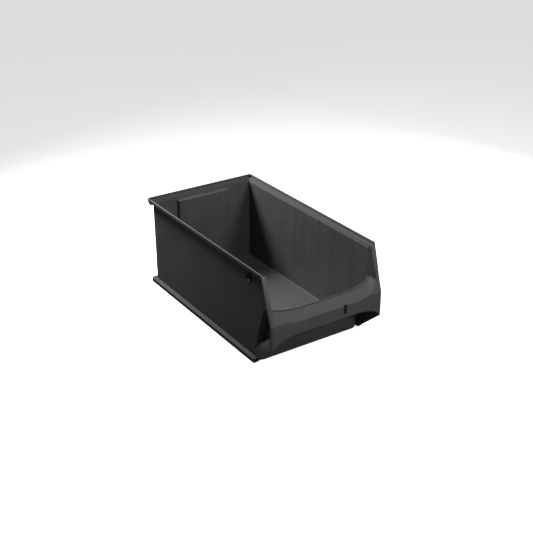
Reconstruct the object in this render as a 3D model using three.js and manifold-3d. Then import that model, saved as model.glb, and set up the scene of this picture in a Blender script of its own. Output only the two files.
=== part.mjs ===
// Stacking storage bin with an open, sloping front. It is one moulding of dark polypropylene, divided here
// into the regions that a toolmaker would name: floor, walls, rim, lip, skirt, flanges, runners and bosses.
// Millimetres. +X to the right, +Y to the back, +Z up. The origin is the middle of the footprint on the ground.
import * as THREE from 'three';
import { mergeVertices } from 'three/addons/utils/BufferGeometryUtils.js';
import Module from 'manifold-3d';

const wasm = await Module();
wasm.setup();

// Driving dimensions
const LENGTH = 360;
const WIDTH = 200;
const HEIGHT = 150;
const WALL = 2.2;
const FIT_GAP = 0.3;

const HALF_LENGTH = LENGTH / 2;
const HALF_WIDTH = WIDTH / 2;
// The back of every outline lies as far behind its half width as the bin is longer than it is wide.
const BACK_SHIFT = HALF_LENGTH - HALF_WIDTH;

// Tub
const FLOOR_TOP = 3;
const WALL_TOP = 140;
const HALF_AT_FLOOR = 93;
const HALF_AT_TOP = 93.4;
const BACK_CORNER_RADIUS = 4;

// Front wall, which leans forward and opens from small corners at the floor to a wide smile at the lip
const FRONT_FOOT_Y = -136;
const FRONT_LEAN = 0.352;
const FOOT_CORNER = { across: 13.5, along: 13.5 };
const LIP_CORNER = { across: 70, along: 17.4 };
const LIP_MIDDLE_Z = 88.5;
const LIP_END_Z = 98;
const LIP_THICKNESS = 2.4;

// Front face: a vertical skirt below the bend, a plane that leans back above it
const SLOPE_RUN = 24;
const BEND_Z = 78;
const SKIRT_HALF = 98.6;
const SKIRT_CORNER_Z = 38;
const SKIRT_CORNER_X = 95.5;
const ARCH_Z = 55.5;
const ARCH_HALF_FLAT = 48;
const SKIRT_TOP_Z = 75.5;
const SKIRT_FLAT_HALF = 48;
const SHOULDER_WIDTH = 45;
const SHOULDER_RISE = 28;
const FLANGE_INNER_X = 92;
const CHEEK_Z = 100.3;

// Label field and its slot
const LABEL = { left: -33, right: 31, bottom: 57, top: 72, depth: 0.6 };
const SLOT = { left: 29.2, right: 33, bottom: 61.5, top: 82 };

// Rim
const RIM_UNDER_Z = 144.5;
const LEDGE_Z = 146;
const BEAD_WIDTH = 2.8;
const LEDGE_HALF = 97;
const BEVEL_HALF = 93.9;
const RIM_SPLIT_Y = 164;
const RIM_CORNER = { outer: 3.5, bead: 2.6, ledge: 2.5, bevel: 4.2 };
const POCKET = { corner: 96.4, leg: 7.2, wall: 1.6, floorZ: 141.2 };
const FLANGE_STEP = 4;

// Side plates, from behind the runner's front end to the skirt's corner
const SIDE_PLATE = { rearY: -122, rearX: 95.8, rearTop: 28, frontTop: 46, footZ: 0.5 };

// Runners round the foot
const RUNNER_HEIGHT = 7;
const RUNNER_HALF = 99.6;
const RUNNER_FRONT_Y = -135.5;
const RUNNER_CORNER_RADIUS = 5;
const RUNNER_SPLIT_Y = 160;

// Hanging panel in the back wall
const PANEL_HALF = 50;
const PANEL_INSET = 5.5;
const PANEL_RAMP = 4;
const PANEL_STEP = 0.4;
const PANEL_CHAMFER_Z = 136.5;

// Carrying-rod bosses
const BOSS = { y: -114.5, z: 129.5, radius: 7, ringInner: 5, pip: 2.6, height: 1.4, web: 0.6, pipHeight: 1.2 };

const CORNER_STEPS = 8;
const DARK_POLYPROPYLENE = 0x2c2c2e;

const lerp = THREE.MathUtils.lerp;
const group = new THREE.Group();

// ---- Building blocks ----

// Triangles of a flat polygon in space, wound the same way as its points.
function capTriangles(points) {
  const normal = new THREE.Vector3();
  points.forEach((p, i) => normal.add(p.clone().cross(points[(i + 1) % points.length])));
  const drop = ['x', 'y', 'z'].sort((a, b) => Math.abs(normal[b]) - Math.abs(normal[a]))[0];
  const [u, v] = { x: ['y', 'z'], y: ['x', 'z'], z: ['x', 'y'] }[drop];
  const flat = points.map((p) => new THREE.Vector2(p[u], p[v]));
  const turn = Math.sign(THREE.ShapeUtils.area(flat));
  return THREE.ShapeUtils.triangulateShape(flat, []).map((t) => {
    const sameWay = Math.sign(THREE.ShapeUtils.area(t.map((i) => flat[i]))) === turn;
    return sameWay ? t : [t[0], t[2], t[1]];
  });
}

// A closed solid from points and triangles, with its faces turned outwards.
function solidFrom(points, triangles) {
  let volume = 0;
  for (const [a, b, c] of triangles) volume += points[a].dot(points[b].clone().cross(points[c]));
  const faces = volume > 0 ? triangles : triangles.map(([a, b, c]) => [a, c, b]);
  const geometry = new THREE.BufferGeometry().setFromPoints(points);
  geometry.setIndex(faces.flat());
  return solidOf(geometry);
}

function solidOf(geometry) {
  const bare = geometry.clone();
  bare.deleteAttribute('normal');
  bare.deleteAttribute('uv');
  const merged = mergeVertices(bare, 1e-3);
  return new wasm.Manifold(new wasm.Mesh({
    numProp: 3,
    vertProperties: new Float32Array(merged.attributes.position.array),
    triVerts: new Uint32Array(merged.index.array),
  }));
}

// Skins a row of sections, each the same closed polygon carried on to a new place.
function loft(sections) {
  const count = sections[0].length;
  const triangles = [];
  for (let s = 0; s + 1 < sections.length; s++) {
    for (let i = 0; i < count; i++) {
      const j = (i + 1) % count;
      const [a, b, c, d] = [s * count + i, s * count + j, (s + 1) * count + j, (s + 1) * count + i];
      triangles.push([a, b, c], [a, c, d]);
    }
  }
  const last = (sections.length - 1) * count;
  capTriangles(sections[0]).forEach(([a, b, c]) => triangles.push([a, c, b]));
  capTriangles(sections[sections.length - 1]).forEach((t) => triangles.push(t.map((i) => i + last)));
  return solidFrom(sections.flat(), triangles);
}

// A plate whose flat outline is carried to its two faces by two functions of (u, v).
function plate(outline, face, otherFace) {
  const flat = outline.map(([u, v]) => new THREE.Vector2(u, v));
  return loft([flat.map((p) => face(p.x, p.y)), flat.map((p) => otherFace(p.x, p.y))]);
}

function block(low, high) {
  const geometry = new THREE.BoxGeometry(high[0] - low[0], high[1] - low[1], high[2] - low[2]);
  geometry.translate((low[0] + high[0]) / 2, (low[1] + high[1]) / 2, (low[2] + high[2]) / 2);
  return solidOf(geometry);
}

function mirrored(sections) {
  return sections.map((section) => section.map((p) => new THREE.Vector3(-p.x, p.y, p.z)));
}

function add(name, solid) {
  const mesh = solid.getMesh();
  const geometry = new THREE.BufferGeometry();
  geometry.setAttribute('position', new THREE.BufferAttribute(new Float32Array(mesh.vertProperties), 3));
  geometry.setIndex(new THREE.BufferAttribute(new Uint32Array(mesh.triVerts), 1));
  geometry.computeVertexNormals();
  const material = new THREE.MeshStandardMaterial({ color: DARK_POLYPROPYLENE, roughness: 0.5, metalness: 0 });
  const part = new THREE.Mesh(geometry, material);
  part.name = name;
  group.add(part);
}

// ---- The bin's own lines ----

// Half width of the tub's outer face: upright beside the floor, then opening with the moulding's draft.
function halfAt(z) {
  return HALF_AT_FLOOR + Math.max(0, z - FLOOR_TOP) * (HALF_AT_TOP - HALF_AT_FLOOR) / (WALL_TOP - FLOOR_TOP);
}

function frontAt(z) {
  return FRONT_FOOT_Y - FRONT_LEAN * z;
}

function frontCornerAt(z) {
  const t = z / LIP_END_Z;
  return {
    across: lerp(FOOT_CORNER.across, LIP_CORNER.across, t),
    along: lerp(FOOT_CORNER.along, LIP_CORNER.along, t),
  };
}

// Where the front corner has turned fully into the side wall.
function cornerEndY(z) {
  return frontAt(z) + frontCornerAt(z).along;
}

// y of the front face at height z.
function slopeY(z) {
  return -HALF_LENGTH + Math.max(0, z - BEND_Z) * SLOPE_RUN / (HEIGHT - BEND_Z);
}

// A point of the front wall: t runs from 0 in the middle to 1 where the corner starts and 2 where it ends.
function frontPoint(t, z, inset) {
  const corner = frontCornerAt(z);
  const half = halfAt(z);
  const start = half - corner.across;
  if (t <= 1) return new THREE.Vector3(start * t, frontAt(z) + inset, z);
  const angle = (t - 1) * Math.PI / 2;
  return new THREE.Vector3(
    start + (corner.across - inset) * Math.sin(angle),
    frontAt(z) + corner.along - (corner.along - inset) * Math.cos(angle),
    z,
  );
}

function lipZ(t) {
  return t <= 1 ? LIP_MIDDLE_Z : lerp(LIP_END_Z, LIP_MIDDLE_Z, Math.cos((t - 1) * Math.PI / 2));
}

// Places along the front from the middle to the end of the corner.
const frontSteps = [0, 0.5, 1];
for (let i = 1; i <= CORNER_STEPS; i++) frontSteps.push(1 + i / CORNER_STEPS);

// The lip's outer edge seen from the front: flat in the middle, then part of an ellipse up the shoulder.
const shoulderEnd = Math.asin((FLANGE_INNER_X - FIT_GAP - SKIRT_FLAT_HALF) / SHOULDER_WIDTH);

function lipFrontPoint(t) {
  if (t <= 1) return [SKIRT_FLAT_HALF * t * 2 / 3, SKIRT_TOP_Z];
  const angle = shoulderEnd * ((t - 1) * CORNER_STEPS - 1) / (CORNER_STEPS - 1);
  return [SKIRT_FLAT_HALF + SHOULDER_WIDTH * Math.sin(angle), SKIRT_TOP_Z + SHOULDER_RISE * (1 - Math.cos(angle))];
}

// The right half of a row of sections joined to its mirror image on the left.
function bothHalves(sections) {
  return [...mirrored(sections).reverse().slice(0, -1), ...sections];
}

// Outline round the tub at one height, for the floor.
function floorOutline(z) {
  const right = frontSteps.map((t) => frontPoint(t, z, 0));
  for (let i = 0; i <= CORNER_STEPS; i++) {
    right.push(cornerPoint(halfAt(z), BACK_CORNER_RADIUS, i / CORNER_STEPS * Math.PI / 2, z));
  }
  const left = right.slice(1).reverse().map((p) => new THREE.Vector3(-p.x, p.y, p.z));
  return [...right, ...left];
}

// A point on the round back corner of an outline with this half width.
function cornerPoint(half, radius, angle, z) {
  return new THREE.Vector3(
    half - radius + radius * Math.cos(angle),
    half + BACK_SHIFT - radius + radius * Math.sin(angle),
    z,
  );
}

// ---- Floor and walls ----

add('floor_pan', loft([floorOutline(0), floorOutline(FLOOR_TOP)]));

function frontWall() {
  const drop = LIP_THICKNESS + FIT_GAP;
  const sections = frontSteps.map((t) => [
    frontPoint(t, FLOOR_TOP, 0),
    frontPoint(t, lipZ(t) - drop - WALL, 0),
    frontPoint(t, lipZ(t) - drop, WALL),
    frontPoint(t, FLOOR_TOP, WALL),
  ]);
  return loft(bothHalves(sections));
}
add('front_wall', frontWall());

function sideWall(side) {
  const behindFlange = WALL + FIT_GAP;
  const outline = [
    [halfAt(FLOOR_TOP) + BACK_SHIFT - BACK_CORNER_RADIUS, FLOOR_TOP],
    [halfAt(WALL_TOP) + BACK_SHIFT - BACK_CORNER_RADIUS, WALL_TOP],
    [slopeY(WALL_TOP) + behindFlange, WALL_TOP],
    [slopeY(CHEEK_Z) + behindFlange, CHEEK_Z],
    [cornerEndY(CHEEK_Z), CHEEK_Z],
    [cornerEndY(FLOOR_TOP), FLOOR_TOP],
  ];
  const outer = (y, z) => new THREE.Vector3(side * halfAt(z), y, z);
  const inner = (y, z) => new THREE.Vector3(side * (halfAt(z) - WALL), y, z);
  return plate(outline, outer, inner);
}

function backWall(side) {
  const section = (place) => [
    place(FLOOR_TOP, 0), place(WALL_TOP, 0), place(WALL_TOP, WALL), place(FLOOR_TOP, WALL),
  ];
  const sections = [];
  for (let i = 0; i <= CORNER_STEPS; i++) {
    const angle = i / CORNER_STEPS * Math.PI / 2;
    sections.push(section((z, inset) => cornerPoint(halfAt(z) - inset, BACK_CORNER_RADIUS - inset, angle, z)));
  }
  sections.push(section((z, inset) => new THREE.Vector3(PANEL_HALF, halfAt(z) + BACK_SHIFT - inset, z)));
  return loft(side > 0 ? sections : mirrored(sections));
}

function hangingPanel() {
  const section = (x, inset) => {
    const at = (z, depth) => new THREE.Vector3(x, halfAt(z) + BACK_SHIFT - depth, z);
    return [
      at(FLOOR_TOP, inset), at(PANEL_CHAMFER_Z, inset), at(WALL_TOP, 0),
      at(WALL_TOP, WALL), at(PANEL_CHAMFER_Z, inset + WALL), at(FLOOR_TOP, inset + WALL),
    ];
  };
  const flat = PANEL_HALF - PANEL_RAMP;
  return loft([
    section(-PANEL_HALF, PANEL_STEP), section(-flat, PANEL_INSET),
    section(flat, PANEL_INSET), section(PANEL_HALF, PANEL_STEP),
  ]);
}

// ---- Rim: ledge for the bin above, raised bead outside it, bevel down to the inner wall ----

const rimProfile = [
  { half: HALF_AT_TOP - WALL, radius: BACK_CORNER_RADIUS - WALL, z: WALL_TOP },
  { half: HALF_AT_TOP, radius: BACK_CORNER_RADIUS, z: WALL_TOP },
  { half: HALF_AT_TOP, radius: BACK_CORNER_RADIUS, z: RIM_UNDER_Z },
  { half: HALF_WIDTH, radius: RIM_CORNER.outer, z: RIM_UNDER_Z },
  { half: HALF_WIDTH, radius: RIM_CORNER.outer, z: HEIGHT },
  { half: HALF_WIDTH - BEAD_WIDTH, radius: RIM_CORNER.bead, z: HEIGHT },
  { half: LEDGE_HALF, radius: RIM_CORNER.ledge, z: LEDGE_Z },
  { half: BEVEL_HALF, radius: RIM_CORNER.bevel, z: LEDGE_Z },
];

function rimSide(side) {
  const behindFlange = WALL + FIT_GAP;
  const front = rimProfile.map((p) => new THREE.Vector3(p.half, slopeY(p.z) + behindFlange, p.z));
  const back = rimProfile.map((p) => new THREE.Vector3(p.half, RIM_SPLIT_Y, p.z));
  return loft(side > 0 ? [front, back] : mirrored([front, back]));
}

// An upright triangle in the square corner of the rim, outside the round corner of the wall.
function cornerTriangle(side, corner, leg, low, high) {
  const triangle = [[corner, corner], [corner - leg, corner], [corner, corner - leg]];
  const at = (z) => (x, y) => new THREE.Vector3(side * x, y + BACK_SHIFT, z);
  return plate(triangle, at(low), at(high));
}

// The blind pocket in each back corner of the ledge, and the block that closes it underneath.
function cornerPocket(side) {
  return cornerTriangle(side, POCKET.corner, POCKET.leg, POCKET.floorZ, HEIGHT + 1);
}

function cornerBlock(side) {
  return cornerTriangle(side, POCKET.corner + POCKET.wall, POCKET.leg + 2 * POCKET.wall, WALL_TOP, LEDGE_Z);
}

function rimBack() {
  const right = [rimProfile.map((p) => new THREE.Vector3(p.half, RIM_SPLIT_Y, p.z))];
  for (let i = 0; i <= CORNER_STEPS; i++) {
    const angle = i / CORNER_STEPS * Math.PI / 2;
    right.push(rimProfile.map((p) => cornerPoint(p.half, p.radius, angle, p.z)));
  }
  const whole = loft([...right, ...mirrored(right).reverse()]);
  return whole.add(cornerBlock(1)).add(cornerBlock(-1)).subtract(cornerPocket(1)).subtract(cornerPocket(-1));
}

// ---- Front: lip, skirt, flanges and side plates ----

const slotCutter = block([SLOT.left, -HALF_LENGTH - 1, SLOT.bottom], [SLOT.right, -HALF_LENGTH + 5, SLOT.top]);

function frontLip(thickness) {
  const sections = frontSteps.map((t) => {
    const inner = frontPoint(t, lipZ(t), WALL);
    const [x, z] = lipFrontPoint(t);
    const outer = new THREE.Vector3(x, slopeY(z), z);
    const lowered = (p) => new THREE.Vector3(p.x, p.y, p.z - thickness);
    return [inner, outer, lowered(outer), lowered(inner)];
  });
  return loft(bothHalves(sections));
}

const underLip = LIP_THICKNESS + FIT_GAP;
const shoulder = frontSteps.filter((t) => t > 1).map((t) => lipFrontPoint(t));

// x at which the underside of the shoulder passes height z.
function underShoulderX(z) {
  const level = 1 - (z + underLip - SKIRT_TOP_Z) / SHOULDER_RISE;
  return SKIRT_FLAT_HALF + SHOULDER_WIDTH * Math.sqrt(1 - level ** 2);
}

// The bottom of the skirt: corners that reach down at the sides and an arch to reach under between them.
function archPoints() {
  const points = [];
  for (let i = 0; i <= CORNER_STEPS; i++) {
    const angle = i / CORNER_STEPS * Math.PI / 2;
    points.push([
      SKIRT_CORNER_X - (SKIRT_CORNER_X - ARCH_HALF_FLAT) * (1 - Math.cos(angle)),
      SKIRT_CORNER_Z + (ARCH_Z - SKIRT_CORNER_Z) * Math.sin(angle),
    ]);
  }
  return points;
}

function frontSkirt() {
  const underShoulder = shoulder.filter(([, z]) => z - underLip < BEND_Z - FIT_GAP);
  const right = [
    [0, ARCH_Z],
    ...archPoints().reverse(),
    [SKIRT_HALF, SKIRT_CORNER_Z],
    [SKIRT_HALF, BEND_Z - FIT_GAP],
    [underShoulderX(BEND_Z - FIT_GAP), BEND_Z - FIT_GAP],
    ...underShoulder.reverse().map(([x, z]) => [x, z - underLip]),
  ];
  const left = right.slice(1).reverse().map(([x, z]) => [-x, z]);
  const face = (y) => (x, z) => new THREE.Vector3(x, y, z);
  const whole = plate([...right, ...left], face(-HALF_LENGTH), face(-HALF_LENGTH + WALL));
  const recess = block(
    [LABEL.left, -HALF_LENGTH - 1, LABEL.bottom],
    [LABEL.right, -HALF_LENGTH + LABEL.depth, LABEL.top],
  );
  return whole.subtract(recess).subtract(slotCutter).subtract(frontLip(LIP_THICKNESS + FIT_GAP));
}

// The strip that stiffens the wall's sloping front edge and widens below into the shoulder of the skirt.
function frontFlange(side) {
  const upper = shoulder.filter(([, z]) => z - underLip > BEND_Z);
  const outline = [
    [SKIRT_HALF, BEND_Z],
    [HALF_WIDTH, HEIGHT],
    [HALF_WIDTH - BEAD_WIDTH, HEIGHT],
    [LEDGE_HALF, LEDGE_Z],
    [BEVEL_HALF, LEDGE_Z],
    [FLANGE_INNER_X, LEDGE_Z - FLANGE_STEP],
    [FLANGE_INNER_X, lipFrontPoint(2)[1] - underLip],
    ...upper.slice(0, -1).reverse().map(([x, z]) => [x, z - underLip]),
    [underShoulderX(BEND_Z), BEND_Z],
  ];
  const face = (depth) => (x, z) => new THREE.Vector3(side * x, slopeY(z) + depth, z);
  return plate(outline, face(0), face(WALL)).subtract(frontLip(LIP_THICKNESS + FIT_GAP));
}

// Closes the side between the runner's front end and the skirt's corner, and laps behind the runner's end.
function sidePlate(side) {
  const heel = RUNNER_FRONT_Y - FIT_GAP;
  const front = -HALF_LENGTH + WALL + FIT_GAP;
  const { rearY, rearX, rearTop, frontTop, footZ } = SIDE_PLATE;
  const lapZ = RUNNER_HEIGHT + FIT_GAP;
  const outline = [
    [rearY, lapZ], [rearY, rearTop], [front, frontTop], [front, SKIRT_CORNER_Z], [heel, footZ], [heel, lapZ],
  ];
  const outerX = (y) => lerp(rearX, SKIRT_HALF, (y - rearY) / (front - rearY));
  const face = (inset) => (y, z) => new THREE.Vector3(side * (outerX(y) - inset), y, z);
  return plate(outline, face(0), face(WALL));
}

// ---- Runners ----

const runnerProfile = [
  { half: HALF_AT_FLOOR, radius: BACK_CORNER_RADIUS, z: 0 },
  { half: RUNNER_HALF, radius: RUNNER_CORNER_RADIUS, z: 0 },
  { half: RUNNER_HALF, radius: RUNNER_CORNER_RADIUS, z: RUNNER_HEIGHT },
  { half: halfAt(RUNNER_HEIGHT), radius: BACK_CORNER_RADIUS, z: RUNNER_HEIGHT },
  { half: HALF_AT_FLOOR, radius: BACK_CORNER_RADIUS, z: FLOOR_TOP },
];

function runnerSide(side) {
  const at = (y) => runnerProfile.map((p) => new THREE.Vector3(p.half, y, p.z));
  const sections = [at(RUNNER_FRONT_Y), at(RUNNER_SPLIT_Y)];
  return loft(side > 0 ? sections : mirrored(sections));
}

function runnerBack() {
  const right = [runnerProfile.map((p) => new THREE.Vector3(p.half, RUNNER_SPLIT_Y, p.z))];
  for (let i = 0; i <= CORNER_STEPS; i++) {
    const angle = i / CORNER_STEPS * Math.PI / 2;
    right.push(runnerProfile.map((p) => cornerPoint(p.half, p.radius, angle, p.z)));
  }
  return loft([...right, ...mirrored(right).reverse()]);
}

// ---- Bosses: a thin web that can be knocked out for a carrying rod, inside a raised ring ----

function rodBoss(side) {
  const profile = [
    [0, 0], [BOSS.radius, 0], [BOSS.radius, BOSS.height], [BOSS.ringInner, BOSS.height],
    [BOSS.ringInner, BOSS.web], [BOSS.pip, BOSS.web], [BOSS.pip, BOSS.pipHeight], [0, BOSS.pipHeight],
  ];
  const geometry = new THREE.LatheGeometry(profile.map(([r, h]) => new THREE.Vector2(r, h)), 24);
  geometry.rotateZ(-side * Math.PI / 2);
  geometry.translate(side * HALF_AT_TOP, BOSS.y, BOSS.z);
  return solidOf(geometry);
}

for (const [name, side] of [['left', -1], ['right', 1]]) {
  add(`side_wall_${name}`, sideWall(side));
  add(`back_wall_${name}`, backWall(side));
  add(`rim_${name}`, rimSide(side));
  add(`front_flange_${name}`, frontFlange(side));
  add(`side_plate_${name}`, sidePlate(side));
  add(`runner_${name}`, runnerSide(side));
  add(`rod_boss_${name}`, rodBoss(side));
}
add('hanging_panel', hangingPanel());
add('rim_back', rimBack());
add('front_lip', frontLip(LIP_THICKNESS).subtract(slotCutter));
add('front_skirt', frontSkirt());
add('runner_back', runnerBack());

export default group;
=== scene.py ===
"""Stacking storage bin: one moulding in dark polypropylene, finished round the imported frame.

Shapes are worked out in millimetres, +X to the right, +Y to the back and +Z up, and become metres as each
mesh is made. The bin is symmetric, so most pieces are laid out on the right half and mirrored.
"""
import math

import bmesh
import bpy
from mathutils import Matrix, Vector


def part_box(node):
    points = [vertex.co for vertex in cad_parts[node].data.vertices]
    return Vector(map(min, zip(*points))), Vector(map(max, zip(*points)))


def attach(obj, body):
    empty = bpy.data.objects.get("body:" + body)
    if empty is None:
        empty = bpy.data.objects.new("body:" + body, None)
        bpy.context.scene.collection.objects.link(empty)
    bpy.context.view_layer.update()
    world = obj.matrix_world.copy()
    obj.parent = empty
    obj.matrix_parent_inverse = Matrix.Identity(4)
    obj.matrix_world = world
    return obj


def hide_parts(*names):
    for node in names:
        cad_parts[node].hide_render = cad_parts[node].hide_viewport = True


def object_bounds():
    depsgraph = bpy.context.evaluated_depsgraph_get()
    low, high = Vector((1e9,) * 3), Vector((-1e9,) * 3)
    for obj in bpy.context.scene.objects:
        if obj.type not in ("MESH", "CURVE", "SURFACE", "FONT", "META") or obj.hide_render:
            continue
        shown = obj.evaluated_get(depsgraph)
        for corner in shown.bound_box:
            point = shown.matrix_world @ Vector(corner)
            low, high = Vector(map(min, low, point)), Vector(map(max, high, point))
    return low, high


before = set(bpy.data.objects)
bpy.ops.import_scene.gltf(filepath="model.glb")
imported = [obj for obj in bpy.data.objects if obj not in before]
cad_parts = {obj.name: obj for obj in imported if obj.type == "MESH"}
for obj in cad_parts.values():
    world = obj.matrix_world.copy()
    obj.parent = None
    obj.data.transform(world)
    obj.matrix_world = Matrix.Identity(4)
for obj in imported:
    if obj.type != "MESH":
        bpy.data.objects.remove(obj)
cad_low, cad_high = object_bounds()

MM = 0.001
SHARP_ANGLE = 32.0

# ---- Driving dimensions, the outer ones read from the frame ----

HALF_WIDTH = cad_high.x / MM
HALF_LENGTH = cad_high.y / MM
HEIGHT = cad_high.z / MM
BACK_SHIFT = HALF_LENGTH - HALF_WIDTH
WALL = 2.2

FLOOR_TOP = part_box("floor_pan")[1].z / MM
WALL_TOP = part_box("side_wall_left")[1].z / MM
HALF_AT_FLOOR = 93.0
HALF_AT_TOP = 93.4
BACK_CORNER = 4.0
FLOOR_FILLET = 0.7
FOOT_CHAMFER = 0.8

# Front wall: (across, along) are the half axes of its elliptic corner at the floor and at the lip's ends.
FRONT_FOOT_Y = -136.0
FRONT_LEAN = 0.352
FOOT_CORNER = (13.5, 13.5)
LIP_CORNER = (70.0, 17.4)

# Lip. Its outer edge starts up the shoulder at the step given, where 1 is the start of the wall's corner.
LIP_MIDDLE_Z = 88.5
LIP_END_Z = 98.0
LIP_THICKNESS = 2.4
LIP_EDGE_ROUND = 1.5
LIP_TURN_IN = 1.4
LIP_OVER_WALL = 4.0
SHOULDER_STEP = 1.2
SHOULDER_WIDTH = 45.0
SHOULDER_RISE = 28.0

# Front face: an upright skirt below the bend, a plane that leans back above it.
BEND_Z = 78.0
BEND_ROUND = 1.2
SLOPE_RUN = 24.0
SKIRT_HALF = 98.6
SKIRT_CORNER_Z = 38.0
SKIRT_CORNER_X = 95.5
SKIRT_CORNER_ROUND = 1.2
SKIRT_TOP_Z = 75.5
SKIRT_FLAT_HALF = 48.0
ARCH_Z = 55.5
ARCH_HALF_FLAT = 48.0
FLANGE_INNER_X = 92.2
FLANGE_TOP_CHAMFER = 1.2
APRON_EDGE_ROUND = 0.7
APRON_UNDER_LIP = 1.1
CURL_DEPTH = 1.8
CURL_START_X = 91.0
CURL_WIDTH = 7.6

# Label field and slot in the skirt: left, right, bottom and top.
LABEL = (-33.0, 31.0, 57.0, 73.8)
LABEL_DEPTH = 0.6
SLOT = (27.9, 32.9, 60.8, 76.4)
SLOT_DEPTH = 9.0

# Rim, with a blind pocket in each back corner that runs on under the bead.
RIM_UNDER_Z = 144.5
LEDGE_Z = 146.0
LEDGE_HALF = 97.0
BEAD_WIDTH = 2.8
BEVEL_HALF = 93.9
POCKET_CORNER = 96.4
POCKET_LEG = 7.4
POCKET_WALL = 1.6
POCKET_FLOOR_Z = 141.2
HOLLOW_CORNER = 98.4

RUNNER_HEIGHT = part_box("runner_back")[1].z / MM
RUNNER_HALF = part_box("runner_back")[1].x / MM
RUNNER_FRONT_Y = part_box("runner_left")[0].y / MM

PANEL_HALF = 50.0
PANEL_INSET = 5.5
PANEL_RAMP = 3.2
PANEL_CHAMFER_Z = 136.5
RECESS_FLOOR_RISE = 3.0

WEB_REAR_Y = -120.0

BOSS_Y = (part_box("rod_boss_left")[0].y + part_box("rod_boss_left")[1].y) / 2 / MM
BOSS_Z = (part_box("rod_boss_left")[0].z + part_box("rod_boss_left")[1].z) / 2 / MM


# ---- Small helpers ----

def lerp(a, b, t):
    return a + (b - a) * t


def smooth(t):
    t = min(1.0, max(0.0, t))
    return t * t * (3 - 2 * t)


def spread(low, high, count):
    return [lerp(low, high, i / count) for i in range(count + 1)]


def arc(centre, radius, start, end, count):
    """Points of a round stretch in the plane, from one angle in degrees to another."""
    angles = (math.radians(a) for a in spread(start, end, count))
    return [(centre[0] + radius * math.cos(a), centre[1] + radius * math.sin(a)) for a in angles]


class Skin:
    """Gathers points in millimetres and faces between them, and makes one closed mesh of them."""

    def __init__(self):
        self.points = []
        self.faces = []

    def grid(self, lines, ring=False):
        """Faces between neighbouring lines of points, and from the last line to the first in a ring."""
        start, count = len(self.points), len(lines[0])
        for line in lines:
            self.points += [Vector(p) for p in line]
        for i in range(len(lines) if ring else len(lines) - 1):
            for j in range(count - 1):
                a = start + i * count + j
                b = start + (i + 1) % len(lines) * count + j
                self.faces.append((a, b, b + 1, a + 1))

    def cap(self, line):
        """One flat face."""
        start = len(self.points)
        self.points += [Vector(p) for p in line]
        self.faces.append(tuple(range(start, start + len(line))))

    def mesh(self, name, finish, sharp=SHARP_ANGLE):
        work = bmesh.new()
        verts = [work.verts.new(p * MM) for p in self.points]
        for face in self.faces:
            work.faces.new([verts[i] for i in face])
        bmesh.ops.remove_doubles(work, verts=work.verts, dist=2e-6)
        bmesh.ops.dissolve_degenerate(work, edges=work.edges, dist=1e-7)
        bmesh.ops.recalc_face_normals(work, faces=work.faces)
        mesh = bpy.data.meshes.new(name)
        work.to_mesh(mesh)
        work.free()
        return place(name, mesh, finish, sharp)


def bar(lines, name, finish, sharp=SHARP_ANGLE):
    """A closed bar through rings of points, with a flat cap at each end."""
    skin = Skin()
    skin.grid([line + line[:1] for line in lines])
    skin.cap(lines[0])
    skin.cap(lines[-1])
    return skin.mesh(name, finish, sharp)


def place(name, mesh, finish, sharp=SHARP_ANGLE):
    """Puts a mesh in the scene with its finish, smooth but for edges sharper than the angle given."""
    piece = bpy.data.objects.new(name, mesh)
    bpy.context.scene.collection.objects.link(piece)
    mesh.materials.clear()
    mesh.materials.append(finish)
    mesh.shade_smooth()
    mesh.set_sharp_from_angle(angle=math.radians(sharp))
    return piece


def modified(piece, kind, **settings):
    """Adds a modifier with its settings."""
    modifier = piece.modifiers.new(kind.title(), kind)
    for key, value in settings.items():
        setattr(modifier, key, value)
    return modifier


def settle(piece):
    """Turns the piece and its modifiers into a plain mesh."""
    bpy.context.view_layer.update()
    evaluated = piece.evaluated_get(bpy.context.evaluated_depsgraph_get())
    mesh = bpy.data.meshes.new_from_object(evaluated)
    mesh.name = piece.name
    piece.modifiers.clear()
    old = piece.data
    piece.data = mesh
    bpy.data.meshes.remove(old)
    return piece


def flats_kept(piece):
    """Lets the large flat faces set the shading normals, so that rounded edges beside them stay narrow."""
    modified(piece, "WEIGHTED_NORMAL", keep_sharp=True, weight=80)
    return settle(piece)


def cut(piece, *cutters):
    """Takes the cutters' volumes out of the piece and deletes them."""
    for cutter in cutters:
        modified(piece, "BOOLEAN", operation="DIFFERENCE", solver="MANIFOLD", object=cutter)
    settle(piece)
    for cutter in cutters:
        bpy.data.objects.remove(cutter)
    return piece


def joined(piece, other):
    """Adds the other piece's volume and deletes it."""
    modified(piece, "BOOLEAN", operation="UNION", solver="MANIFOLD", object=other)
    settle(piece)
    bpy.data.objects.remove(other)
    return piece


def mirror_x(p):
    return (-p[0], p[1], p[2])


def mirrored(lines):
    return [[mirror_x(p) for p in line] for line in lines]


def both_halves(lines):
    """The right half's lines, with their mirror images before them; the middle line is shared."""
    return mirrored(lines)[::-1][:-1] + lines


def prism(outline, low, high, finish):
    """An upright prism over a flat outline, to cut with or to join on."""
    skin = Skin()
    lines = [[(x, y, low), (x, y, high)] for x, y in outline]
    skin.grid(lines, ring=True)
    skin.cap([line[0] for line in lines])
    skin.cap([line[1] for line in lines])
    return skin.mesh("cutter", finish)


def block(low, high, finish):
    outline = [(low[0], low[1]), (high[0], low[1]), (high[0], high[1]), (low[0], high[1])]
    return prism(outline, low[2], high[2], finish)


def corner_triangle(side, corner, leg, low, high, finish):
    """An upright triangle in the rim's square corner, outside the tub's round one."""
    far = corner + BACK_SHIFT
    outline = [(side * corner, far), (side * (corner - leg), far), (side * corner, far - leg)]
    return prism(outline, low, high, finish)


def side_word(side):
    return "right" if side > 0 else "left"


def belongs(piece, slot, *nodes):
    """Hides the frame's parts that the piece stands for and hangs the piece on the root. The slot is not
    used.
    """
    if nodes:
        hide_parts(*nodes)
    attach(piece, "root")
    return piece


# ---- Finishes ----

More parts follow.
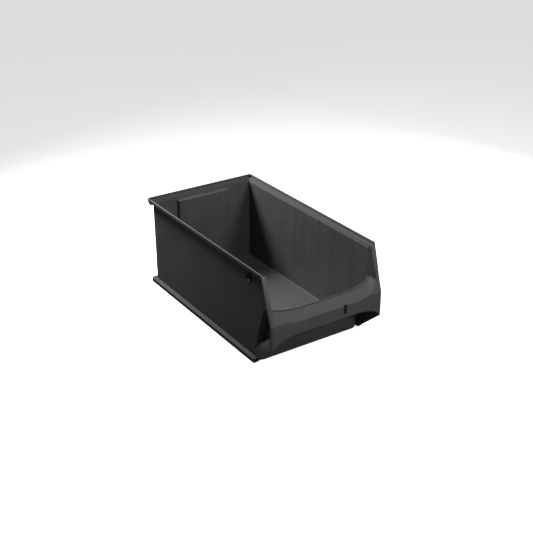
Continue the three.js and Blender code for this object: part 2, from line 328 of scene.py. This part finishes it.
def linear(hex_colour):
    """A colour from sRGB hex as linear red, green, blue and alpha."""
    channels = [int(hex_colour[i:i + 2], 16) / 255 for i in (1, 3, 5)]
    return tuple(c / 12.92 if c <= 0.04045 else ((c + 0.055) / 1.055) ** 2.4 for c in channels) + (1.0,)


def node(tree, kind, inputs=None, **settings):
    """Adds a node. An input is given by name or index: a value, or a (node, output) pair to link."""
    made = tree.nodes.new(kind)
    for key, value in settings.items():
        setattr(made, key, value)
    for key, value in (inputs or {}).items():
        if isinstance(value, tuple) and len(value) == 2 and isinstance(value[0], bpy.types.Node):
            tree.links.new(value[0].outputs[value[1]], made.inputs[key])
        else:
            made.inputs[key].default_value = value
    return made


def moulded_polypropylene(name, base, lighter, roughness, sheen=0.35, scuffs=0.0):
    """Injection-moulded polypropylene, satin from a spark-eroded tool: soft broad highlights, a fine even
    grain, faint flow streaks and slightly paler, duller rubbed patches. The sheen is the strength of its
    plain reflection, which the grain keeps low. The grain is 1.1 mm wide, coarser than the real 0.2 mm so
    that it shows."""
    material = bpy.data.materials.new(name)
    material.use_nodes = True
    tree = material.node_tree
    tree.nodes.clear()
    where = node(tree, "ShaderNodeTexCoord")
    grain = node(tree, "ShaderNodeTexNoise", {"Vector": (where, "Object"), "Scale": 900.0, "Detail": 2.0})
    patches = node(tree, "ShaderNodeTexNoise", {"Vector": (where, "Object"), "Scale": 14.0, "Detail": 3.0})
    stretch = node(tree, "ShaderNodeMapping", {"Vector": (where, "Object"), "Scale": (90.0, 90.0, 7.0)})
    streaks = node(tree, "ShaderNodeTexNoise", {"Vector": (stretch, "Vector"), "Scale": 1.0, "Detail": 2.0})
    blend = node(
        tree, "ShaderNodeMath", {0: (patches, "Fac"), 1: (streaks, "Fac")}, operation="MULTIPLY",
    )
    tint = node(
        tree, "ShaderNodeMapRange",
        {"Value": (blend, 0), "From Min": 0.12, "From Max": 0.42, "To Min": 0.0, "To Max": 1.0},
    )
    colour_fac, rough_source = tint, tint
    if scuffs:
        wear = circular_wear(tree, where)
        colour_fac = node(
            tree, "ShaderNodeMath", {0: (wear, 0), 1: scuffs, 2: (tint, 0)}, operation="MULTIPLY_ADD",
            use_clamp=True,
        )
        rough_source = colour_fac
    colour = node(
        tree, "ShaderNodeMix",
        {"Factor": (colour_fac, 0), 6: linear(base), 7: linear(lighter)}, data_type="RGBA",
    )
    rough = node(
        tree, "ShaderNodeMapRange",
        {"Value": (rough_source, 0), "To Min": roughness - 0.03, "To Max": roughness + 0.05},
    )
    bump = node(
        tree, "ShaderNodeBump", {"Height": (grain, "Fac"), "Strength": 0.12, "Distance": 0.0004},
    )
    shader = node(
        tree, "ShaderNodeBsdfPrincipled",
        {
            "Base Color": (colour, 2), "Roughness": (rough, 0), "Normal": (bump, "Normal"),
            "IOR": 1.49, "Specular IOR Level": sheen,
        },
    )
    node(tree, "ShaderNodeOutputMaterial", {"Surface": (shader, "BSDF")})
    return material


def circular_wear(tree, where):
    """Broken rings rubbed into the floor by parts turned about in it; the rings are about 9 mm apart."""
    centred = node(tree, "ShaderNodeMapping", {"Vector": (where, "Object"), "Location": (0.01, 0.075, 0.0)})
    rings = node(
        tree, "ShaderNodeTexWave",
        {"Vector": (centred, "Vector"), "Scale": 34.0, "Distortion": 3.0, "Detail": 3.0, "Detail Scale": 2.0},
        wave_type="RINGS", rings_direction="Z",
    )
    broken = node(tree, "ShaderNodeTexNoise", {"Vector": (where, "Object"), "Scale": 38.0, "Detail": 4.0})
    gate = node(
        tree, "ShaderNodeMapRange", {"Value": (broken, "Fac"), "From Min": 0.5, "From Max": 0.68},
    )
    return node(tree, "ShaderNodeMath", {0: (rings, "Fac"), 1: (gate, 0)}, operation="MULTIPLY")


# ---- Lines of the tub ----
# Here z is a height and inset the depth into the wall, measured from its outer face.

def half_at(z):
    draft = (HALF_AT_TOP - HALF_AT_FLOOR) / (WALL_TOP - FLOOR_TOP)
    return HALF_AT_FLOOR + max(0.0, z - FLOOR_TOP) * draft


def front_at(z):
    return FRONT_FOOT_Y - FRONT_LEAN * z


def front_corner_at(z):
    t = min(z, LIP_END_Z) / LIP_END_Z
    return lerp(FOOT_CORNER[0], LIP_CORNER[0], t), lerp(FOOT_CORNER[1], LIP_CORNER[1], t)


def crease_y(z):
    """Where the side wall's flat ends at the front: at its corner, and above the lip at a straight crease."""
    z = min(z, LIP_END_Z)
    return front_at(z) + front_corner_at(z)[1]


def slope_y(z):
    return -HALF_LENGTH + max(0.0, z - BEND_Z) * SLOPE_RUN / (HEIGHT - BEND_Z)


def front_point(t, z, inset):
    """t runs from 0 in the middle of the front to 1 where the corner starts and 2 where it ends."""
    across, along = front_corner_at(z)
    start = half_at(z) - across
    if t <= 1:
        return (start * t, front_at(z) + inset, z)
    turn = (t - 1) * math.pi / 2
    return (
        start + (across - inset) * math.sin(turn),
        front_at(z) + along - (along - inset) * math.cos(turn),
        z,
    )


def side_point(s, z, inset):
    back = half_at(z) + BACK_SHIFT - BACK_CORNER
    return (half_at(z) - inset, lerp(crease_y(z), back, s), z)


def corner_point(half, radius, degrees, z):
    turn = math.radians(degrees)
    return (
        half - radius + radius * math.cos(turn),
        half + BACK_SHIFT - radius + radius * math.sin(turn),
        z,
    )


def panel_depth(x, z):
    """How far the back wall is set inwards at x, on the hanging panel and on the ramps at its sides."""
    chamfer = min(1.0, max(0.0, (WALL_TOP - z) / (WALL_TOP - PANEL_CHAMFER_Z)))
    return PANEL_INSET * chamfer * smooth((PANEL_HALF - x) / PANEL_RAMP)


def back_point(x, z, inset):
    """The outside of the panel runs out to the runner at its foot, so the recess has a floor."""
    foot = 1.0 if inset else smooth((z - FLOOR_TOP) / RECESS_FLOOR_RISE)
    return (x, half_at(z) + BACK_SHIFT - inset - panel_depth(x, z) * foot, z)


def lip_z(t):
    return LIP_MIDDLE_Z if t <= 1 else lerp(LIP_END_Z, LIP_MIDDLE_Z, math.cos((t - 1) * math.pi / 2))


FRONT_STEPS = [0, 0.25, 0.5, 0.75] + spread(1, 2, 20)
SIDE_STEPS = [0, 0.1, 0.3, 0.5, 0.7, 0.9, 1]
CORNER_DEGREES = spread(0, 90, 9)
BACK_XS = [70, 58, PANEL_HALF + 0.6] + spread(PANEL_HALF, PANEL_HALF - PANEL_RAMP, 5)
BACK_XS += [PANEL_HALF - 4, 30, 15, 0]


def tub_columns():
    """Functions of (z, inset) for the right half of the tub, from the middle of the front to the middle of
    the back, each with the heights of the wall's inner and outer top at the lip's level."""
    columns = [
        (
            lambda z, inset, t=t: front_point(t, z, inset),
            lip_z(t),
            lip_z(t) - LIP_OVER_WALL * (1 - smooth(t - 1)),
        )
        for t in FRONT_STEPS
    ]
    others = [lambda z, inset, s=s: side_point(s, z, inset) for s in SIDE_STEPS[1:]]
    others += [
        lambda z, inset, a=a: corner_point(half_at(z) - inset, max(BACK_CORNER - inset, 0.4), a, z)
        for a in CORNER_DEGREES[1:]
    ]
    others += [lambda z, inset, x=x: back_point(x, z, inset) for x in BACK_XS]
    return columns + [(other, LIP_END_Z, LIP_END_Z) for other in others]


# ---- Tub ----

def tub(finish):
    """Floor, walls and the leaning front wall in one skin, with round inner corners."""
    skin = Skin()
    columns = tub_columns()
    fillet = [
        (FLOOR_TOP + FLOOR_FILLET * (1 - math.cos(a)), WALL + FLOOR_FILLET * (1 - math.sin(a)))
        for a in (math.radians(d) for d in spread(0, 90, 7))
    ]
    start = fillet[-1][0]
    rises = spread(0, 1, 5)
    inner = [
        [at(z, inset) for z, inset in fillet] + [at(lerp(start, top, r), WALL) for r in rises[1:]]
        for at, top, _ in columns
    ]
    outer = [
        [at(lerp(start, top, r), 0) for r in rises[::-1]]
        + [at(FLOOR_TOP, 0), at(FOOT_CHAMFER, 0), at(0, FOOT_CHAMFER)]
        for at, _, top in columns
    ]
    skin.grid(both_halves(inner)[:-1], ring=True)
    skin.grid(both_halves(outer)[:-1], ring=True)
    skin.grid([[mirror_x(line[0]), line[0]] for line in inner])
    skin.grid([[mirror_x(line[-1]), line[-1]] for line in outer])
    bend = (PANEL_CHAMFER_Z + WALL_TOP) / 2
    heights = [LIP_END_Z, 115, 130, PANEL_CHAMFER_Z, bend, WALL_TOP]
    standing = [lambda z, inset: side_point(0, z, inset)] + [at for at, _, _ in columns[len(FRONT_STEPS):]]
    upper = [[at(z, WALL) for z in heights] + [at(z, 0) for z in heights[::-1]] for at in standing]
    upper += mirrored(upper)[::-1][1:]
    skin.grid(upper)
    for end in (upper[0], upper[-1]):
        skin.grid([end[:len(heights)], end[len(heights):][::-1]])
    front = [[line[-1], below[0]] for line, below in zip(inner, outer)][:len(FRONT_STEPS)]
    skin.grid(both_halves(front))
    return flats_kept(skin.mesh("tub", finish))


# ---- Rim and runner ----

def round_the_back(profile, front_y, name, finish, flare=0.0):
    """Sweeps a closed profile of (half width, corner radius, z) round the sides and the back. front_y gives
    where it starts at each height. The profile's first point moves outwards by the flare at those ends."""
    right = [[(half, front_y(z), z) for half, _, z in profile]]
    half, y, z = right[0][0]
    right[0][0] = (half + flare, y, z)
    behind_slope = front_y(HEIGHT) + 12
    right += [[(half, y, z) for half, _, z in profile] for y in (behind_slope, -80, 0, 80, 150)]
    right += [[corner_point(half, radius, a, z) for half, radius, z in profile] for a in spread(0, 90, 12)]
    right += [[(x, half + BACK_SHIFT, z) for half, _, z in profile] for x in (60, 30, 0)]
    return bar(right + mirrored(right)[::-1][1:], name, finish)


def rim(finish):
    """The stacking rim: a bevel up from the wall, a ledge for the bin above and a rounded bead outside it."""
    # Corner radii round the back, seen from above, and the radii of the rounds in the section.
    outer, bead, ledge, bevel, under = 3.5, 2.6, 2.5, 4.2, 4.0
    fine, medium, broad = 0.5, 0.7, 0.8
    profile = [(HALF_AT_TOP - WALL, BACK_CORNER - WALL, WALL_TOP)]
    profile += [(x, bevel, z) for x, z in arc((BEVEL_HALF + fine, LEDGE_Z - medium), medium, 155, 90, 3)]
    profile += [(x, ledge, z) for x, z in arc((LEDGE_HALF - fine, LEDGE_Z + fine), fine, 270, 350, 3)]
    bead_inner = HALF_WIDTH - BEAD_WIDTH + broad
    profile += [(x, bead, z) for x, z in arc((bead_inner, HEIGHT - medium), medium, 175, 90, 3)]
    profile += [(x, outer, z) for x, z in arc((HALF_WIDTH - broad, HEIGHT - broad), broad, 90, 0, 3)]
    profile += [(x, outer, z) for x, z in arc((HALF_WIDTH - fine, RIM_UNDER_Z + fine), fine, 0, -90, 2)]
    profile += [(x, under, z) for x, z in arc((HALF_AT_TOP + broad, RIM_UNDER_Z - broad), broad, 90, 180, 3)]
    profile += [(HALF_AT_TOP, under, WALL_TOP)]
    flare = FLANGE_INNER_X - HALF_AT_TOP + WALL
    piece = round_the_back(profile, lambda z: slope_y(z) + WALL / 2, "rim", finish, flare)
    for side in (-1, 1):
        corner, leg = POCKET_CORNER + POCKET_WALL, POCKET_LEG + 2 * POCKET_WALL
        joined(piece, corner_triangle(side, corner, leg, POCKET_FLOOR_Z - 1.2, LEDGE_Z - fine, finish))
        pocket = corner_triangle(side, POCKET_CORNER, POCKET_LEG, POCKET_FLOOR_Z, HEIGHT + 1, finish)
        low, high = RIM_UNDER_Z + broad, HEIGHT - 0.9
        hollow = corner_triangle(side, HOLLOW_CORNER, POCKET_LEG, low, high, finish)
        cut(piece, pocket, hollow)
    piece.data.set_sharp_from_angle(angle=math.radians(SHARP_ANGLE))
    return flats_kept(piece)


def runner(finish):
    """The foot flange that lands on the rim of the bin below, with a shallow groove along its top."""
    top, corner, root = RUNNER_HEIGHT, 3.5, HALF_AT_FLOOR - 1
    edge, toe, foot = 0.6, 0.35, 1.5
    groove_outer, groove_inner = RUNNER_HALF - 1.9, HALF_AT_FLOOR + 2.3
    groove_slant, groove_floor = 0.5, top - 0.7
    profile = [(root, BACK_CORNER - 1, 0.0)]
    profile += [(x, corner, z) for x, z in arc((RUNNER_HALF - toe, toe), toe, 270, 360, 2)]
    profile += [(x, corner, z) for x, z in arc((RUNNER_HALF - edge, top - edge), edge, 0, 90, 3)]
    profile += [(groove_outer, corner, top), (groove_outer - groove_slant, corner, groove_floor)]
    profile += [(groove_inner + groove_slant, corner, groove_floor), (groove_inner, corner, top)]
    profile += [(x, BACK_CORNER, z) for x, z in arc((HALF_AT_FLOOR + foot, top + foot), foot, 270, 180, 3)]
    profile += [(root, BACK_CORNER - 1, top + foot)]
    return flats_kept(round_the_back(profile, lambda z: RUNNER_FRONT_Y, "runner", finish))


# ---- Front ----

def shoulder_line(t):
    """The lip's outer edge seen from the front: level in the middle, then an elliptic arc up the shoulder."""
    if t <= SHOULDER_STEP:
        return (SKIRT_FLAT_HALF * t / SHOULDER_STEP, SKIRT_TOP_Z)
    lap = 0.4
    end = math.asin((FLANGE_INNER_X + lap - SKIRT_FLAT_HALF) / SHOULDER_WIDTH)
    turn = end * (t - SHOULDER_STEP) / (2 - SHOULDER_STEP)
    return (
        SKIRT_FLAT_HALF + SHOULDER_WIDTH * math.sin(turn),
        SKIRT_TOP_Z + SHOULDER_RISE * (1 - math.cos(turn)),
    )


# The lip's inner edge in section, as (reach over the band, rise above it): a bead, then a groove beside it.
LIP_BEAD = [(-0.1, -1.2), (0.0, 0.0), (0.2, 0.6), (0.9, 0.95), (1.5, 0.7), (1.8, -0.2), (2.2, -0.9)]
LIP_BEAD += [(3.0, -0.9), (3.4, 0.0), (4.2, 0.1)]


def lip(finish):
    """The broad curved band over the front, with a fine bead and groove along its inner edge."""
    inside = Vector((0, 1, 0))
    lines = []
    for t in FRONT_STEPS:
        start = Vector(front_point(t, lip_z(t), WALL))
        x, z = shoulder_line(t)
        end = Vector((x, slope_y(z), z))
        last = Vector((x, slope_y(z - LIP_EDGE_ROUND), z - LIP_EDGE_ROUND))
        along, down = (end - start).normalized(), (last - end).normalized()
        up = (Vector((0, 0, 1)) - along * along.z).normalized()
        first = end - along * LIP_EDGE_ROUND
        line = [start + along * reach + up * rise for reach, rise in LIP_BEAD]
        line += [start.lerp(first, share) for share in (0.45, 0.7)]
        line += [first.lerp(end, share).lerp(end.lerp(last, share), share) for share in spread(0, 1, 5)]
        line += [last + (inside * LIP_TURN_IN + down * 0.4) * share for share in (0.5, 1.0)]
        line.append(start + along * 3 - up * (LIP_THICKNESS + 0.4))
        line.append(start + along * 1.2 - up * (LIP_THICKNESS + 1.2))
        lines.append([tuple(p) for p in line])
    left, right, bottom, top = SLOT
    slot = block((left, -HALF_LENGTH - 1, bottom), (right, -HALF_LENGTH + SLOT_DEPTH, top), finish)
    return flats_kept(cut(bar(both_halves(lines), "lip_band", finish), slot))


def apron_outline():
    """Right half of the front seen square on, in two runs: the free edge from the arch round the skirt's
    corner and up the flange to the rim, and the edge under the lip back to the middle."""
    arch = [
        (
            SKIRT_CORNER_X - (SKIRT_CORNER_X - ARCH_HALF_FLAT) * (1 - math.cos(a)),
            SKIRT_CORNER_Z + (ARCH_Z - SKIRT_CORNER_Z) * math.sin(a),
        )
        for a in (math.radians(d) for d in spread(90, 0, 12))
    ]
    centre = (SKIRT_HALF - SKIRT_CORNER_ROUND, SKIRT_CORNER_Z + SKIRT_CORNER_ROUND)
    top = [
        (HALF_WIDTH, HEIGHT - FLANGE_TOP_CHAMFER), (HALF_WIDTH - FLANGE_TOP_CHAMFER, HEIGHT),
        (HALF_WIDTH - BEAD_WIDTH, HEIGHT), (LEDGE_HALF, LEDGE_Z), (BEVEL_HALF, LEDGE_Z),
        (FLANGE_INNER_X, WALL_TOP),
    ]
    free = [(0, ARCH_Z)] + arch + arc(centre, SKIRT_CORNER_ROUND, 270, 360, 2) + [(SKIRT_HALF, BEND_Z)] + top
    shoulder = [shoulder_line(t) for t in FRONT_STEPS[::-1]]
    under_lip = [(x, z - APRON_UNDER_LIP) for x, z in shoulder]
    under_lip[0] = (FLANGE_INNER_X, under_lip[0][1])
    return free, under_lip


def apron(finish):
    """Skirt, shoulders and the sloping front flanges: one plate with a bend across it and rounded edges."""
    free, under_lip = apron_outline()
    right = free + under_lip
    outline = right + [(-x, z) for x, z in right[-2:0:-1]]
    work = bmesh.new()
    front = [work.verts.new((x * MM, 0, z * MM)) for x, z in outline]
    back = [work.verts.new((x * MM, WALL * MM, z * MM)) for x, z in outline]
    weight = work.edges.layers.float.new("bevel_weight_edge")
    work.faces.new(front[::-1])
    work.faces.new(back)
    for i in range(len(outline)):
        j = (i + 1) % len(outline)
        work.faces.new((front[i], front[j], back[j], back[i]))
        under_the_lip = len(free) <= min(i, j) and max(i, j) <= len(outline) - len(free)
        if not under_the_lip:
            for pair in ((front[i], front[j]), (back[i], back[j])):
                work.edges.get(pair)[weight] = 1.0
    bmesh.ops.recalc_face_normals(work, faces=work.faces)
    mesh = bpy.data.meshes.new("front_apron")
    work.to_mesh(mesh)
    work.free()
    piece = place("front_apron", mesh, finish)
    modified(piece, "BEVEL", width=APRON_EDGE_ROUND * MM, segments=3, limit_method="WEIGHT")
    settle(piece)
    windows = [
        block((x_low, -1, bottom), (x_high, depth, top), finish)
        for (x_low, x_high, bottom, top), depth in ((LABEL, LABEL_DEPTH), (SLOT, WALL + 1))
    ]
    cut(piece, *windows)
    bend_plate(piece.data)
    piece.data.set_sharp_from_angle(angle=math.radians(SHARP_ANGLE))
    return flats_kept(piece)


def bend_plate(mesh):
    """Leans a flat upright plate back above the bend and curls its outer edges back a little. The curl fades
    out above the bend. The plate is scored where it bends and curls."""
    fade_start, fade_run = BEND_Z + 10, 50
    work = bmesh.new()
    work.from_mesh(mesh)
    bmesh.ops.triangulate(work, faces=[f for f in work.faces if len(f.verts) > 4])
    rises = (-BEND_ROUND, 0.0, BEND_ROUND, 14.0, 28.0, 42.0)
    scores = [((0, 0, BEND_Z + rise), (0, 0, 1)) for rise in rises]
    scores += [((x * side, 0, 0), (1, 0, 0)) for x in spread(CURL_START_X, 97, 4) for side in (-1, 1)]
    for at, normal in scores:
        parts = list(work.verts) + list(work.edges) + list(work.faces)
        bmesh.ops.bisect_plane(work, geom=parts, plane_co=[c * MM for c in at], plane_no=normal)
    for vert in work.verts:
        x, z = abs(vert.co.x) / MM, vert.co.z / MM
        reach = max(0.0, z - BEND_Z)
        if abs(z - BEND_Z) < BEND_ROUND:
            reach = (z - BEND_Z + BEND_ROUND) ** 2 / (4 * BEND_ROUND)
        fade = 1 - smooth((z - fade_start) / fade_run)
        curl = CURL_DEPTH * (max(0.0, x - CURL_START_X) / CURL_WIDTH) ** 2 * fade
        vert.co.y += (-HALF_LENGTH + reach * SLOPE_RUN / (HEIGHT - BEND_Z) + curl) * MM
    work.to_mesh(mesh)
    work.free()


def cheek(side, finish):
    """The side wall in front of the crease. Its inside flares out to the flange, from a fine score beside the
    crease. Its outside starts a little under the wall's face."""
    lap, score, score_share, sunk, widening = 0.15, 0.35, 0.02, 0.2, 1.4
    crease = crease_y(LIP_END_Z)
    heights = spread(LIP_END_Z - 3.5, LEDGE_Z - 1, 6)
    lines = []
    for share in [-0.12, 0.0, score_share, 0.08] + spread(0.2, 1, 4):
        ahead = max(0.0, share)
        flare = ahead * (FLANGE_INNER_X - HALF_AT_TOP + WALL) - lap + (score if share == score_share else 0.0)
        along = [(lerp(crease, slope_y(z) + WALL / 2, share), z) for z in heights]
        inner = [(half_at(z) - WALL + flare, y, z) for y, z in along]
        outer = [(half_at(z) - sunk + widening * ahead, y, z) for y, z in along]
        lines.append(inner + outer[::-1])
    return flats_kept(bar(lines if side > 0 else mirrored(lines), f"cheek_{side_word(side)}", finish))


def side_plate(side, finish):
    """Closes the side behind the skirt's corner: flush with the wall beside the runner, then further out and
    scooped in under the lip. Reach, rise and start give the width, height and foot of the scoop."""
    heel, front = RUNNER_FRONT_Y, -HALF_LENGTH + WALL / 2
    scoop = arc((0, 0), 1, 84, 0, 10)
    lines = []
    for y in [WEB_REAR_Y, WEB_REAR_Y - 8, heel - 0.2] + spread(heel - 6, front, 8):
        share = max(0.0, (heel - y) / (heel - front))
        bottom = lerp(0.3, SKIRT_CORNER_Z + 0.6, share)
        x = lerp(HALF_AT_FLOOR + 0.35, SKIRT_HALF - 1.2, smooth(share) * 0.4 + share * 0.6)
        reach, rise, start = lerp(4, 27, share), lerp(20, 33, share), lerp(14, 39, share)
        line = [(x - reach + reach * c, y, start + rise * h) for c, h in scoop]
        line += [(x, y, bottom + 0.5), (x - 0.5, y, bottom), (x - WALL, y, bottom + 0.2)]
        line += [(x - reach + (reach - WALL) * c, y, start + (rise - WALL) * h) for c, h in scoop[::-1]]
        lines.append(line)
    lines = lines if side > 0 else mirrored(lines)
    return flats_kept(bar(lines, f"corner_web_{side_word(side)}", finish, sharp=40))


# The rod's knock-out in section, as (radius, rise over the wall): a pip on a thin web inside a raised ring.
KNOCKOUT = [(0, 0.9), (1.2, 0.85), (2.2, 0.4), (2.6, -0.8), (4.6, -1.0), (5.2, 0.9), (5.6, 1.3)]
KNOCKOUT += [(6.4, 1.3), (6.9, 0.8), (7.0, -0.6)]


def rod_boss(side, finish):
    """A raised ring round a thin web with a small pip, which is knocked out to take a carrying rod."""
    lines = []
    for turn in (math.radians(a) for a in spread(0, 360, 40)[:-1]):
        y, z = math.cos(turn), math.sin(turn)
        lines.append([(side * (HALF_AT_TOP + rise), BOSS_Y + r * y, BOSS_Z + r * z) for r, rise in KNOCKOUT])
    skin = Skin()
    skin.grid(lines, ring=True)
    skin.cap([line[-1] for line in lines])
    return flats_kept(skin.mesh(f"rod_knockout_{side_word(side)}", finish))


# ---- Set: floor, light and camera ----

PAPER_SEEN = "#f6f6f6"
PAPER_ROUND_BIN = "#454545"
PAPER_GLOW = 0.7
PAPER_REACH = 6.0
AIM = Vector((0, 0, 0.06))

# Name, place, size and power of each lamp, in metres and watts.
LAMPS = [
    ("front", (0.25, -0.78, 0.48), 0.16, 4.4),
    ("key", (-0.17, 0.42, 0.48), 0.16, 7.2),
    ("over", (0.03, -0.25, 0.5), 0.16, 1.4),
    ("right_fill", (0.8, 0.15, 0.35), 0.25, 1.6),
    ("low_front", (-0.02, -0.42, 0.02), 0.06, 0.08),
]


def stage():
    """A pale seamless floor. The camera sees it nearly white, and the bin sees it dark, as on a cut-out."""
    material = bpy.data.materials.new("pale_paper")
    material.use_nodes = True
    tree = material.node_tree
    tree.nodes.clear()
    seen = node(tree, "ShaderNodeLightPath")
    tone = node(
        tree, "ShaderNodeMix",
        {"Factor": (seen, "Is Camera Ray"), 6: linear(PAPER_ROUND_BIN), 7: linear(PAPER_SEEN)},
        data_type="RGBA",
    )
    glow = node(tree, "ShaderNodeMath", {0: (seen, "Is Camera Ray"), 1: PAPER_GLOW}, operation="MULTIPLY")
    shader = node(
        tree, "ShaderNodeBsdfPrincipled",
        {
            "Base Color": (tone, 2), "Roughness": 0.9, "Emission Color": linear("#ffffff"),
            "Emission Strength": (glow, 0),
        },
    )
    node(tree, "ShaderNodeOutputMaterial", {"Surface": (shader, "BSDF")})
    mesh = bpy.data.meshes.new("paper_floor")
    corners = [(x * PAPER_REACH, y * PAPER_REACH, 0) for x, y in ((-1, -1), (1, -1), (1, 1), (-1, 1))]
    mesh.from_pydata(corners, [], [(0, 1, 2, 3)])
    mesh.materials.append(material)
    floor = bpy.data.objects.new("paper_floor", mesh)
    bpy.context.scene.collection.objects.link(floor)


def soft_box(name, place_at, size, power):
    """A square lamp turned to the bin."""
    lamp = bpy.data.lights.new(name, "AREA")
    lamp.size = size
    lamp.energy = power
    holder = bpy.data.objects.new(name, lamp)
    holder.location = place_at
    holder.rotation_euler = (AIM - Vector(place_at)).to_track_quat("-Z", "Y").to_euler()
    holder.visible_camera = False
    bpy.context.scene.collection.objects.link(holder)


def surround(strength):
    """Pale walls all round. The camera sees them white, and the bin gets only a faint even light."""
    world = bpy.data.worlds.new("studio")
    world.use_nodes = True
    tree = world.node_tree
    tree.nodes.clear()
    seen = node(tree, "ShaderNodeLightPath")
    level = node(
        tree, "ShaderNodeMapRange", {"Value": (seen, "Is Camera Ray"), "To Min": strength, "To Max": 1.0},
    )
    background = node(tree, "ShaderNodeBackground", {"Color": linear("#ffffff"), "Strength": (level, 0)})
    node(tree, "ShaderNodeOutputWorld", {"Surface": (background, "Background")})
    bpy.context.scene.world = world


def camera():
    """Stands 1.5 m off to the front left, looking down at the bin with a slightly long lens."""
    data = bpy.data.cameras.new("camera")
    data.lens = 64.74
    data.sensor_width = 36
    holder = bpy.data.objects.new("camera", data)
    holder.location = (-0.7376, -1.1258, 0.7387)
    holder.rotation_euler = (math.radians(90 - 26.33), 0, math.radians(-33.71))
    bpy.context.scene.collection.objects.link(holder)
    bpy.context.scene.camera = holder


# ---- Assembly ----

body = moulded_polypropylene("satin_polypropylene", "#3a3a3b", "#3f3f40", 0.5)
rubbed = moulded_polypropylene("rubbed_polypropylene", "#3b3b3c", "#404041", 0.7, sheen=0.25)
floor_worn = moulded_polypropylene("scuffed_polypropylene", "#3a3a3b", "#434344", 0.5, scuffs=0.5)

belongs(
    tub(floor_worn), "body_pp", "floor_pan", "front_wall", "side_wall_left", "side_wall_right",
    "back_wall_left", "back_wall_right", "hanging_panel",
)
belongs(rim(rubbed), "rim_pp", "rim_left", "rim_right", "rim_back")
belongs(runner(rubbed), "rim_pp", "runner_left", "runner_right", "runner_back")
belongs(lip(rubbed), "rim_pp", "front_lip")
belongs(apron(body), "body_pp", "front_skirt", "front_flange_left", "front_flange_right")
for side in (-1, 1):
    word = side_word(side)
    belongs(cheek(side, body), "body_pp")
    belongs(side_plate(side, body), "body_pp", f"side_plate_{word}")
    belongs(rod_boss(side, body), "body_pp", f"rod_boss_{word}")

stage()
camera()
bpy.context.scene.view_settings.view_transform = "Standard"
surround(0.01)
for lamp in LAMPS:
    soft_box(*lamp)
